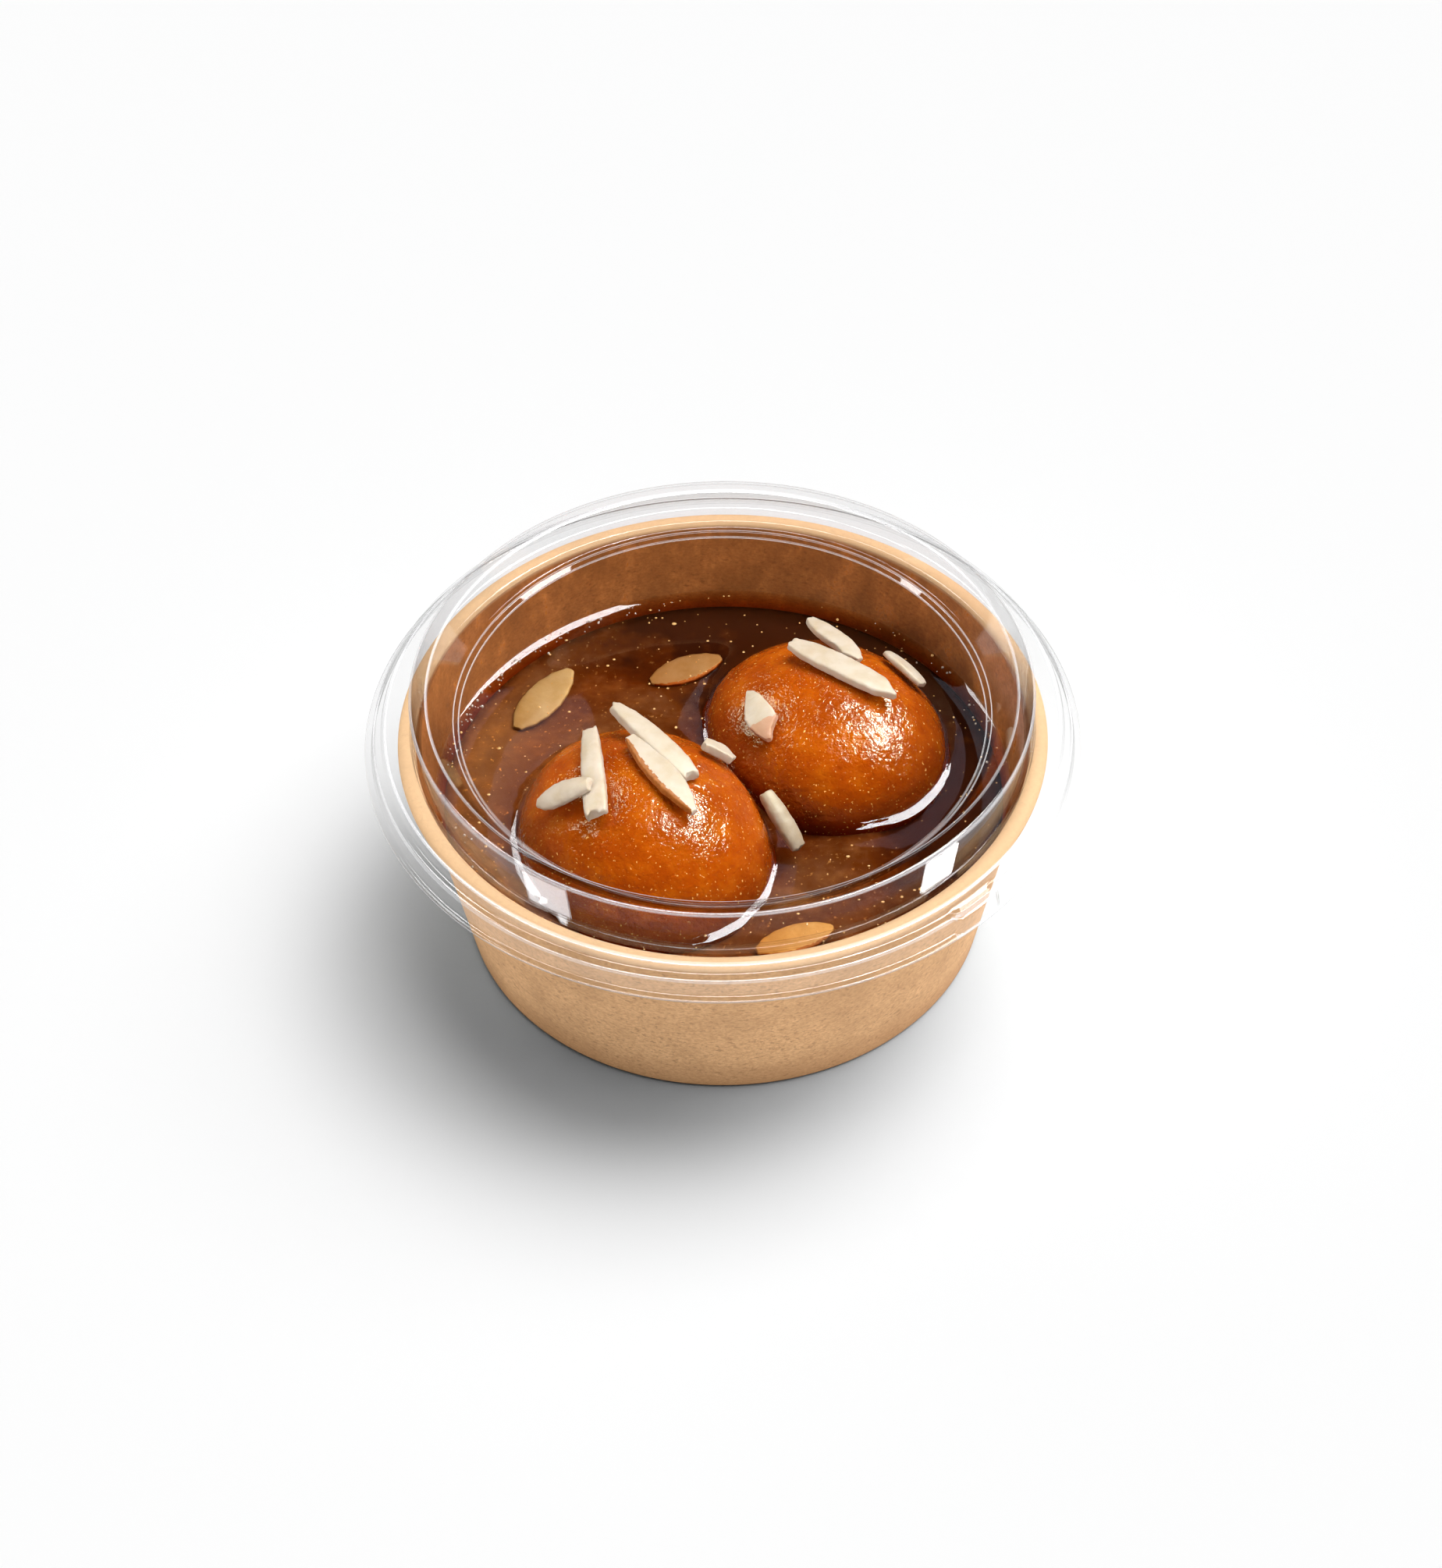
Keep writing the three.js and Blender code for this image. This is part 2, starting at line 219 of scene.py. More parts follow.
class Shader:
    """A node material built in a few lines; links run from socket to socket."""

    def __init__(self, name):
        self.mat = bpy.data.materials.new(name)
        self.mat.use_nodes = True
        self.tree = self.mat.node_tree
        self.tree.nodes.clear()
        self.out = self.tree.nodes.new("ShaderNodeOutputMaterial")
        self.coords = self.tree.nodes.new("ShaderNodeTexCoord").outputs["Object"]

    def feed(self, socket, value):
        """Links another node's output to a socket, or sets the socket to a value."""
        if isinstance(value, bpy.types.NodeSocket):
            self.tree.links.new(value, socket)
        elif socket.type == "RGBA" and len(value) == 3:
            socket.default_value = (*value, 1)
        else:
            socket.default_value = value

    def node(self, kind, **inputs):
        """Adds a node; keys that name a property set it, and the rest are inputs, a value or a socket."""
        n = self.tree.nodes.new(kind)
        for key, value in inputs.items():
            if hasattr(n, key) and not isinstance(value, bpy.types.NodeSocket):
                setattr(n, key, value)
            else:
                self.feed(n.inputs[key.replace("_", " ")], value)
        return n

    def scaled(self, scale):
        """Object coordinates in units of 1/scale millimetres, one factor or three."""
        s = scale if hasattr(scale, "__len__") else (scale,) * 3
        m = self.node("ShaderNodeMapping", Vector=self.coords)
        m.inputs["Scale"].default_value = tuple(x / MM for x in s)
        return m.outputs["Vector"]

    def noise(self, size_mm, detail=3.0, rough=0.55, stretch=(1, 1, 1), seed=0.0):
        """Noise from 0 to 1 whose features are about size_mm wide."""
        n = self.node("ShaderNodeTexNoise", noise_dimensions="4D",
                      Vector=self.scaled([s / size_mm for s in stretch]))
        n.inputs["W"].default_value = seed
        n.inputs["Scale"].default_value = 1.0
        n.inputs["Detail"].default_value = detail
        n.inputs["Roughness"].default_value = rough
        return n.outputs["Fac"]

    def ramp(self, fac, stops):
        """Colours along fac; stops holds (position, colour)."""
        n = self.node("ShaderNodeValToRGB")
        self.tree.links.new(fac, n.inputs["Fac"])
        ramp = n.color_ramp
        while len(ramp.elements) < len(stops):
            ramp.elements.new(0.5)
        for e, (pos, colour) in zip(ramp.elements, stops):
            e.position = pos
            e.color = (*colour, 1)
        return n.outputs["Color"]

    def level(self, fac, low, high, to_low=0.0, to_high=1.0):
        """Maps fac from low..high to to_low..to_high, clamped."""
        n = self.node("ShaderNodeMapRange", clamp=True)
        names = ("Value", "From Min", "From Max", "To Min", "To Max")
        for name, value in zip(names, (fac, low, high, to_low, to_high)):
            self.feed(n.inputs[name], value)
        return n.outputs["Result"]

    def mix(self, fac, a, b):
        """Colour a blended toward colour b by fac."""
        n = self.node("ShaderNodeMix", data_type="RGBA")
        for socket, value in zip((n.inputs[0], n.inputs[6], n.inputs[7]), (fac, a, b)):
            self.feed(socket, value)
        return n.outputs[2]

    def maths(self, op, a, b=0.0):
        """One step of arithmetic; op is the node's own word for it."""
        n = self.node("ShaderNodeMath", operation=op)
        for socket, value in zip(n.inputs, (a, b)):
            self.feed(socket, value)
        return n.outputs[0]

    def height(self):
        """Height above the table in millimetres."""
        xyz = self.node("ShaderNodeSeparateXYZ", Vector=self.coords)
        return self.maths("MULTIPLY", xyz.outputs["Z"], 1 / MM)

    def bump(self, height, distance_mm, strength=1.0, normal=None):
        """A normal roughened by height, on top of another normal if one is given."""
        n = self.node("ShaderNodeBump", Height=height)
        n.inputs["Strength"].default_value = strength
        n.inputs["Distance"].default_value = distance_mm * MM
        if normal:
            self.tree.links.new(normal, n.inputs["Normal"])
        return n.outputs["Normal"]

    def surface(self, **inputs):
        """Ends the material in a Principled shader; keys are its inputs with _ for a space."""
        bsdf = self.node("ShaderNodeBsdfPrincipled")
        for key, value in inputs.items():
            self.feed(bsdf.inputs[key.replace("_", " ")], value)
        self.tree.links.new(bsdf.outputs[0], self.out.inputs["Surface"])
        return bsdf


def tinted(colour, tint):
    """A colour times one factor, or times a factor for each channel, at most white."""
    factors = tint if hasattr(tint, "__len__") else (tint,) * 3
    return tuple(min(1.0, c * t) for c, t in zip(colour, factors))


def kraft_material(name, light, dark, wet):
    """Kraft paper: fine fibres and flecks; wet gives the sealed, syrup-stained inside, and dry paper gets
    painted shade toward its foot.
    """
    s = Shader(name)
    fibre = s.noise(0.8, 4, 0.75, (1, 1, 1.8), 1.0)
    fleck = s.noise(1.0, 2, 0.5, (1, 1, 1.4), 4.0)
    cloud = s.noise(14, 3, 0.6, (1, 1, 1), 2.0)
    tone = s.ramp(s.level(fibre, 0.36, 0.64), [(0, dark), (1, light)])
    tone = s.mix(s.level(fleck, 0.58, 0.68, 0, 0.6), tone, tinted(dark, 0.62))
    tone = s.mix(s.level(cloud, 0.4, 0.66, 0, 0.45), tone, tinted(dark, 0.75))
    if wet:
        stain = s.noise(5, 6, 0.7, (1, 1, 0.8), 9.0)
        tone = s.mix(s.level(stain, 0.46, 0.62, 0, 0.5), tone, tinted(dark, 0.62))
        tone = s.mix(s.level(stain, 0.46, 0.34, 0, 0.4), tone, tinted(light, 1.45))
        rough = s.level(stain, 0.3, 0.7, 0.22, 0.5)
    else:
        # Painted shade: the outside paper is darkened over its lowest 9 mm, next to the table.
        foot = s.level(s.height(), 0, 9, 0.5, 0)
        tone = s.mix(foot, tone, tinted(dark, (0.72, 0.6, 0.5)))
        rough = s.level(fibre, 0.2, 0.8, 0.72, 0.9)
    rim = s.level(s.height(), RIM_Z - 0.5, RIM_Z + 0.3, 0, 0.75)
    tone = s.mix(rim, tone, (0.64, 0.41, 0.225))
    # Light that bounces off the paper stays grey, so that it does not tint the table and the lid.
    bounced = s.node("ShaderNodeLightPath").outputs["Is Diffuse Ray"]
    tone = s.mix(bounced, tone, [sum(light) / 3] * 3)
    s.surface(Base_Color=tone, Roughness=rough, Normal=s.bump(fibre, 0.08, 0.5))
    return s.mat


def see_through(s, surface, tint=(1, 1, 1), for_gloss=False):
    """Lets shadow rays and soft light through, so that what lies behind clear plastic or syrup is lit
    evenly; for_gloss lets mirror rays through too, so that the lid is not seen again in the syrup."""
    clear = s.node("ShaderNodeBsdfTransparent", Color=(*tint, 1)).outputs[0]
    path = s.node("ShaderNodeLightPath")
    soft = s.maths("MAXIMUM", path.outputs["Is Shadow Ray"], path.outputs["Is Diffuse Ray"])
    if for_gloss:
        soft = s.maths("MAXIMUM", soft, path.outputs["Is Glossy Ray"])
    mix = s.node("ShaderNodeMixShader")
    s.tree.links.new(soft, mix.inputs[0])
    s.tree.links.new(surface, mix.inputs[1])
    s.tree.links.new(clear, mix.inputs[2])
    s.tree.links.new(mix.outputs[0], s.out.inputs["Surface"])


def clear_material(name, lean=0.0, painted_edge_white=0.0, glint=0.045):
    """Thin clear plastic: glints at grazing angles and clear from the front. lean tips its glints upward,
    as fine moulded ribs do; frost is the share of white diffuse laid on sharp moulded edges as a painted
    highlight; glint is the share it mirrors when seen straight on."""
    s = Shader(name)
    facing = s.node("ShaderNodeLayerWeight", Blend=0.5).outputs["Facing"]
    grazing = s.maths("POWER", facing, 5.0)
    fresnel = s.maths("ADD", s.maths("MULTIPLY", grazing, 0.35), glint)
    gloss = s.node("ShaderNodeBsdfGlossy", Roughness=0.02, Color=fresnel)
    if lean:
        tipped = s.bump(s.maths("MULTIPLY", s.height(), -lean), 1.0)
        s.tree.links.new(tipped, gloss.inputs["Normal"])
    clear = s.node("ShaderNodeBsdfTransparent", Color=s.level(grazing, 0, 1, 0.968, 0.1))
    both = s.node("ShaderNodeAddShader")
    s.tree.links.new(clear.outputs[0], both.inputs[0])
    s.tree.links.new(gloss.outputs[0], both.inputs[1])
    body = both.outputs[0]
    # Painted highlight: a share of white diffuse on the sharp edges.
    if painted_edge_white:
        white = s.node("ShaderNodeBsdfDiffuse", Color=(0.9, 0.9, 0.92, 1))
        edge = s.node("ShaderNodeMixShader")
        edge.inputs[0].default_value = painted_edge_white
        s.tree.links.new(body, edge.inputs[1])
        s.tree.links.new(white.outputs[0], edge.inputs[2])
        body = edge.outputs[0]
    see_through(s, body, (0.965, 0.965, 0.965), for_gloss=True)
    return s.mat


def syrup_material():
    """Clear brown sugar syrup: the deeper it is, the browner it looks."""
    s = Shader("syrup")
    liquid = s.surface(Base_Color=(1, 1, 1), Roughness=0.02, IOR=1.44, Transmission_Weight=1.0)
    see_through(s, liquid.outputs[0])
    absorb = s.node("ShaderNodeVolumeAbsorption")
    absorb.inputs["Color"].default_value = (0.82, 0.515, 0.03, 1)
    absorb.inputs["Density"].default_value = 330.0
    s.tree.links.new(absorb.outputs[0], s.out.inputs["Volume"])
    return s.mat


def haze_material():
    """The murky depth of the syrup with clouds, wisps and spice dust: painted shade makes it near black on
    the far right and at the back, and painted light makes it amber with a painted grey-lilac sheen on the
    left.
    """
    s = Shader("syrup_depth")
    cloud = s.noise(16, 4, 0.6, (1, 1, 1), 3.0)
    wisp = s.noise(5, 5, 0.6, (1, 1.4, 1), 7.0)
    dust = s.noise(0.9, 3, 0.6, (1, 1, 1), 5.0)
    place = s.node("ShaderNodeSeparateXYZ", Vector=s.coords)
    # Painted light and shade by place: lighter toward the left, darker toward the back. The grey-lilac top
    # of the ramp is a painted sheen, and the wisps and spice dust show most where the painted light is.
    rightward = s.maths("ADD", place.outputs["X"], s.maths("MULTIPLY", place.outputs["Y"], 0.45))
    painted_light_left = s.level(rightward, -0.035, 0.030, 0.46, -0.26)
    painted_shade_back = s.level(place.outputs["Y"], 0.014, 0.042, 0, 0.3)
    side = s.maths("SUBTRACT", painted_light_left, painted_shade_back)
    murk_and_painted_light = s.maths("ADD", s.level(cloud, 0.3, 0.7, 0, 0.5), side)
    tone = s.ramp(murk_and_painted_light, [
        (0, (0.058, 0.030, 0.034)),
        (0.25, (0.165, 0.076, 0.034)),
        (0.8, (0.37, 0.29, 0.32)),
    ])
    wisps = s.maths("MULTIPLY", s.level(wisp, 0.48, 0.68, 0, 0.7), murk_and_painted_light)
    tone = s.mix(wisps, tone, (0.60, 0.42, 0.32))
    grains = s.maths("MULTIPLY", s.level(dust, 0.62, 0.70, 0, 1.6), murk_and_painted_light)
    tone = s.mix(grains, tone, (1.0, 0.74, 0.42))
    s.surface(Base_Color=tone, Roughness=0.7, Specular_IOR_Level=0.0)
    return s.mat


def jamun_material(name, seed, waterline_shade):
    """Fried milk-dough skin soaked in syrup: orange brown with painted glints, painted shade toward the
    waterline, finely wrinkled, wet.
    waterline_shade is how strong the painted shade toward the waterline is."""
    s = Shader(name)
    mottle = s.noise(5, 5, 0.62, (1, 1, 1), seed)
    broad = s.noise(15, 3, 0.5, (1, 1, 1), seed + 3)
    pores_and_glints = s.noise(0.5, 2, 0.5, (1, 1, 1), seed + 5)
    crinkle = s.noise(0.85, 2, 0.5, (1, 1, 1), seed + 8)
    from_middle = s.maths("SUBTRACT", s.noise(2.0, 3, 0.55, (1, 1, 1), seed + 9), 0.5)
    crease = s.level(s.maths("ABSOLUTE", from_middle), 0, 0.09)
    tone = s.ramp(s.level(mottle, 0.3, 0.72), [
        (0, (0.32, 0.045, 0.002)),
        (0.5, (0.435, 0.076, 0.002)),
        (1, (0.58, 0.135, 0.004)),
    ])
    tone = s.mix(s.level(broad, 0.4, 0.65, 0, 0.4), tone, (0.26, 0.034, 0.002))
    # Painted shade: the skin is darkened toward the waterline.
    waterline = s.level(s.height(), SYRUP_Z - 0.5, SYRUP_Z + 8, waterline_shade, 0)
    tone = s.mix(waterline, tone, (0.16, 0.016, 0.001))
    # Painted glints: bright golden specks where the fine noise peaks; the same noise also gives the skin's
    # fine bump.
    tone = s.mix(s.level(pores_and_glints, 0.655, 0.70, 0, 0.8), tone, (1.0, 0.55, 0.14))
    folds = s.maths("ADD", crinkle, s.maths("MULTIPLY", crease, 0.25))
    wrinkle = s.bump(folds, 0.22)
    wet_skin = s.bump(pores_and_glints, 0.015, normal=s.bump(folds, 0.17))
    s.surface(Base_Color=tone, Roughness=0.5, Specular_IOR_Level=0.0, Normal=wrinkle,
              Subsurface_Weight=0.2, Subsurface_Scale=0.0015, Subsurface_Radius=(1.0, 0.35, 0.1),
              Coat_Weight=1.0, Coat_Roughness=0.035, Coat_Normal=wet_skin)
    return s.mat


def almond_material(name, tint=(1, 1, 1), mottle=0.7):
    """Cut almond flesh: creamy, with deeper patches and a fine grain."""
    s = Shader(name)
    fibre = s.noise(0.8, 4, 0.6, (1, 1, 1), 2.0)
    patch = s.noise(4, 3, 0.55, (1, 1, 1), 6.0)
    light = tinted((0.58, 0.487, 0.388), tint)
    deep = tinted((0.49, 0.375, 0.245), tint)
    tone = s.mix(s.level(patch, 0.4, 0.66, 0, mottle), light, deep)
    tone = s.mix(s.level(fibre, 0.55, 0.8, 0, 0.3), tone, deep)
    s.surface(Base_Color=tone, Roughness=0.5, Normal=s.bump(fibre, 0.08, 0.5),
              Subsurface_Weight=0.25, Subsurface_Scale=0.0015, Subsurface_Radius=(1.0, 0.7, 0.4))
    return s.mat


def almond_skin_material():
    """The brown skin left along an almond's edge."""
    s = Shader("almond_skin")
    streak = s.noise(0.7, 4, 0.6, (1, 1, 1), 3.0)
    tone = s.ramp(s.level(streak, 0.3, 0.7), [(0, (0.28, 0.075, 0.010)), (1, (0.46, 0.15, 0.026))])
    s.surface(Base_Color=tone, Roughness=0.55, Normal=s.bump(streak, 0.1, 0.5))
    return s.mat


# ---------- bowl ----------


def wall_radius(z):
    """Outer radius of the paper wall at height z."""
    top = RIM_R - RIM_HALF_W + PAPER
    return BASE_R + (top - BASE_R) * z / RIM_Z


def ring_place(poly):
    """Radius and height of a face's middle, in millimetres."""
    return math.hypot(poly.center.x, poly.center.y) / MM, poly.center.z / MM


def build_bowl():
    """The paper bowl: flat base, conical wall and rolled rim, with a syrup-stained inside."""
    under_roll = RIM_Z - 0.75
    roll = []
    for t in np.linspace(-118, 180, 34):
        across, up = on_circle(1, math.radians(t))
        roll.append((RIM_R + RIM_HALF_W * across, RIM_Z + RIM_HALF_H * up))
    foot = fillet([(0, 0, 0), (BASE_R, 0, 0.6), (wall_radius(3), 3, 0)])
    inside_foot = fillet([
        (wall_radius(5) - PAPER, 5, 0),
        (wall_radius(FLOOR_Z) - PAPER, FLOOR_Z, 1.6),
        (0, FLOOR_Z, 0),
    ])
    outer = [(wall_radius(z), z) for z in np.linspace(8, under_roll, 8)]
    inner = [(wall_radius(z) - PAPER, z) for z in np.linspace(RIM_Z - 1.2, 10, 8)]
    verts, faces = revolve(foot + outer + roll + inner + inside_foot)
    kraft = kraft_material("kraft_outside", (0.76, 0.455, 0.23), (0.52, 0.28, 0.125), False)
    lining = kraft_material("kraft_inside", (0.46, 0.165, 0.045), (0.30, 0.10, 0.025), True)
    bowl = make_object("paper_bowl", verts, faces, [kraft, lining], "kraft")
    for poly in bowl.data.polygons:
        r, z = ring_place(poly)
        if r < wall_radius(z) - 0.4 * PAPER and FLOOR_Z / 2 < z < RIM_Z + 0.2:
            poly.material_index = 1
    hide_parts("bowl")


# ---------- lid ----------


def lid_line():
    """The lid's middle line from the axis out: panel, ring, groove, shoulder, skirt and lip."""
    return fillet([
        (0, PANEL_Z + 0.35, 0),
        (24, PANEL_Z + 0.18, 0),
        (46.3, PANEL_Z + 0.01, 0),
        (47.0, PANEL_Z, 0.35),
        (47.8, PANEL_Z + 0.7, 0.35),
        (48.8, PANEL_Z + 0.6, 0.4),
        (52.4, RING_Z, 0.9),
        (55.3, RING_Z, 0.8),
        (53.85, GROOVE_Z, 0.5),
        (55.1, GROOVE_Z, 0.5),
        (55.6, SHOULDER_Z, 0.8),
        (60.2, SHOULDER_Z, 0.8),
        (60.8, SHOULDER_Z - 1.7, 0.6),
        (62.1, SHOULDER_Z - 2.0, 0.7),
        (62.7, LIP_Z, 0.5),
        (LIP_R, LIP_Z, 0),
    ])


def tab_bulge(r, angle, z):
    """Bulges the skirt outward into a small rounded thumb tab."""
    turn = (angle - math.radians(TAB_AZ) + math.pi) % (2 * math.pi) - math.pi
    side = abs(turn) * SKIRT_R / TAB_HALF_LENGTH
    if r < SKIRT_TOP_R or side > 1.3:
        return r, z
    w = clamp((1.18 - side) / 0.25)
    w = w * w * (3 - 2 * w)
    lift = clamp((LIP_R - 0.1 - r) / 1.2)
    return r + TAB_BULGE * w * lift, z


def lid_finish(r, z, azimuth):
    """Which of the lid's plastics a face gets: 0 clear, 1 ribbed, 2 edge with a painted highlight or 3 calm.
    """
    on_ribs = any(abs(azimuth - middle) < half for middle, half in RIBBED)
    on_outer_wall = RING_OUTER_WALL[0] < r < RING_OUTER_WALL[1] and GROOVE_Z + 0.9 < z < RING_Z - 0.9
    if on_ribs and on_outer_wall:
        return 1
    if any(near < r < far and abs(z - height) < 1.0 for near, far, height in LID_BENDS):
        return 2
    on_walls = RING_WALLS[0] < r < RING_WALLS[1] and GROOVE_Z < z < RING_Z - 0.7
    if CALM[0] < azimuth < CALM[1] and on_walls:
        return 3
    return 0


def build_lid():
    """The clear lid, turned in one piece, with its finishes face by face."""
    verts, faces = revolve(thicken(lid_line(), LID_T), 2 * ROUND_SEGS, tab_bulge)
    plastics = [
        clear_material("clear_plastic"),
        clear_material("ribbed_plastic", lean=1.3),
        # The edges' white share is a painted highlight.
        clear_material("edge_highlight_plastic", painted_edge_white=0.24),
        clear_material("quiet_plastic", glint=0.010),
    ]
    lid = make_object("clear_lid", verts, faces, plastics, "clear_lid")
    for poly in lid.data.polygons:
        azimuth = math.degrees(math.atan2(poly.center.y, poly.center.x))
        poly.material_index = lid_finish(*ring_place(poly), azimuth)
    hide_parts("lid")
    lid_only.objects.link(lid)


# ---------- dumplings ----------


def dimple(mesh, box, seed):
    """Moves points in and out from the middle of the box: broad shallow dents and a fine pucker."""
    centre = (box[0] + box[1]) / 2
    co = np.empty(len(mesh.vertices) * 3)
    mesh.vertices.foreach_get("co", co)
    co = co.reshape(-1, 3)
    out = co - np.array(centre)
    out /= np.linalg.norm(out, axis=1)[:, None]
    for i, v in enumerate(co):
        p = Vector(v) / MM + Vector((seed, seed, seed))
        dent = noise.fractal(p * 0.16, 1.0, 2.0, 3) * 0.25
        pucker = noise.fractal(p * 0.9, 0.8, 2.0, 3) * 0.03
        co[i] = v + out[i] * (dent + pucker) * MM
    mesh.vertices.foreach_set("co", co.ravel())


def build_jamun(node, seed, waterline_shade):
    """The CAD dumpling, subdivided smooth, with an uneven fried skin."""
    obj = bpy.data.objects.new(node + "_skin", frame["nodes"][node].data.copy())
    bpy.context.scene.collection.objects.link(obj)
    weld = obj.modifiers.new("weld", "WELD")
    weld.merge_threshold = 0.00001
    smooth = obj.modifiers.new("smooth", "SUBSURF")
    smooth.levels = 4
    smooth.render_levels = 4
    deps = bpy.context.evaluated_depsgraph_get()
    fine = bpy.data.meshes.new_from_object(obj.evaluated_get(deps))
    obj.modifiers.clear()
    obj.data = fine
    dimple(fine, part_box(node), seed)
    fine.shade_smooth()
    fine.materials.clear()
    fine.materials.append(jamun_material(node + "_skin", seed, waterline_shade))
    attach(obj, "root")
    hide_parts(node)
    return obj


# ---------- syrup ----------


def tree_of(obj):
    """A search tree over an object's faces."""
    mesh = obj.data
    points = [v.co.copy() for v in mesh.vertices]
    return BVHTree.FromPolygons(points, [tuple(p.vertices) for p in mesh.polygons])


def syrup_radius(z):
    """How far out the syrup goes at height z, just into the paper."""
    return wall_radius(z) - PAPER + SYRUP_INTO_WALL


def syrup_top(foods, segs):
    """Points of the surface, ring by ring from the middle, climbing a little at the wall and the food."""
    wall_rise, wall_reach = 1.8, 4.4
    food_rise, food_reach = 0.8, 1.7
    wall = syrup_radius(SYRUP_Z)
    trees = [tree_of(o) for o in foods]
    rings = 110
    points = []
    for i in range(1, rings + 1):
        r = wall * (i / rings) ** 0.85
        for k in range(segs):
            x, y = on_circle(r, 2 * math.pi * k / segs)
            z = SYRUP_Z + wall_rise * math.exp(-(wall - r) / wall_reach)
            gap = min(t.find_nearest(Vector((x, y, SYRUP_Z)) * MM)[3] for t in trees) / MM
            z += food_rise * math.exp(-gap / food_reach)
            z += 0.03 * noise.noise(Vector((x * 0.12, y * 0.12, 3.0)))
            widen = syrup_radius(z) / wall
            points.append((x * widen, y * widen, z))
    return points


def build_syrup(foods):
    """One body of clear syrup up to its level, over a murky bed that stands for its depth."""
    segs = 480
    bottom = FLOOR_Z - 0.1
    verts = [(0, 0, SYRUP_Z)] + syrup_top(foods, segs)
    for z in (SYRUP_Z * 0.66, SYRUP_Z * 0.33, bottom):
        verts += [(*on_circle(syrup_radius(z), 2 * math.pi * k / segs), z) for k in range(segs)]
    verts.append((0, 0, bottom))
    faces = []
    last = len(verts) - 1
    total = (len(verts) - 2) // segs
    for k in range(segs):
        n = (k + 1) % segs
        faces.append((0, 1 + k, 1 + n))
        for i in range(total - 1):
            a = 1 + i * segs
            b = a + segs
            faces.append((a + k, b + k, b + n, a + n))
        faces.append((last, last - segs + n, last - segs + k))
    syrup = make_object("syrup_pool", verts, faces, [syrup_material()], "syrup")
    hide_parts("syrup")

    bed = SYRUP_Z - 3.6
    edge = wall_radius(bed) - PAPER
    waves = [(r, bed + 0.8 * math.sin(r * 0.3)) for r in np.linspace(4, edge, 24)]
    outline = [(0, bed)] + waves + [(wall_radius(bed - 1) - PAPER, bed - 1), (0, bed - 1)]
    make_object("syrup_depth", *revolve(outline, 128), [haze_material()], "syrup")
    return syrup


# ---------- almonds ----------


def pose_of(node):
    """Middle, axes (along, across, outward) and sizes of an almond piece, from its CAD solid."""
    co = np.array([v.co for v in frame["nodes"][node].data.vertices]) / MM
    mid = co.mean(0)
    _, _, axes = np.linalg.svd(co - mid, full_matrices=False)
    along, across, outward = axes
    along = along * (1 if along @ np.array([0.8, -1, 0]) > 0 else -1)
    outward = outward * (1 if outward @ np.array([0, -0.6, 1]) > 0 else -1)
    across = np.cross(outward, along)
    spans = [(co - mid) @ a for a in (along, across, outward)]
    sizes = [s.max() - s.min() for s in spans]
    mid = mid + sum(a * (s.max() + s.min()) / 2 for a, s in zip((along, across, outward), spans))
    return mid, np.array([along, across, outward]), sizes


def edge_at(widths, t, crisp):
    """Half width at t from -1 (tail) to 1 (head), read between evenly spaced widths."""
    x = (t + 1) / 2 * (len(widths) - 1)
    i = min(int(x), len(widths) - 2)
    f = x - i
    if not crisp:
        f = f * f * (3 - 2 * f) * 0.4 + f * 0.6
    return widths[i] * (1 - f) + widths[i + 1] * f


def sliver_mesh(length, width, thick, up, low, ridge=0.0, ridge_at=0.0, bow=0.3, ragged=0.15, crisp=False,
                square=4.5, seed=0):
    """A cut piece of almond along X. up and low are its half widths from tail to head, as shares of the
    width; ridge is the height of a crease along its top, ridge_at its place across, bow how far its middle
    stands up, ragged the roughness of its cuts, and square how boxy its section is."""
    stations, around = 60, 44
    off = Vector((seed * 7.3, seed * 3.1, seed * 1.7))
    rim = [(0.80, -1.0), (0.93, -0.992), (1.0, -0.975)]
    middle = [(1.0, t) for t in np.linspace(-0.95, 0.95, stations)]
    rings = rim + middle + [(k, -t) for k, t in rim[::-1]]
    verts = []
    for keep, t in rings:
        top = edge_at(up, t, crisp) * width / 2
        bottom = -edge_at(low, t, crisp) * width / 2
        mid_y, half = (top + bottom) / 2, (top - bottom) / 2 * keep
        thin = thick / 2 * (1 - 0.25 * abs(t) ** 3) * keep
        for k in range(around):
            c, s = on_circle(1, 2 * math.pi * k / around)
            y = mid_y + half * math.copysign(abs(c) ** (2 / square), c)
            z = thin * math.copysign(abs(s) ** (2 / square), s)
            if z > 0:
                z += ridge * max(0.0, 1 - abs((y - mid_y) / max(half, 0.01) - ridge_at)) * (1 - t ** 4)
            x = t * length / 2
            p = Vector((x, y, z + bow * (0.5 - t * t)))
            wave = noise.noise_vector(p * 0.7 + off) * 0.10 + noise.noise_vector(p * 2.6 + off) * 0.05
            cut = noise.noise(Vector((t, y * 1.1, z * 0.9)) + off) * ragged * 3 * abs(t) ** 24
            p += Vector((cut, wave.y, wave.z * 0.7))
            verts.append(tuple(p))
    faces = []
    count = len(rings)
    for i in range(count - 1):
        for k in range(around):
            n = (k + 1) % around
            a, b = i * around, (i + 1) * around
            faces.append((a + k, a + n, b + n, b + k))
    faces.append(tuple(range(around))[::-1])
    faces.append(tuple((count - 1) * around + k for k in range(around)))
    return np.array(verts), faces


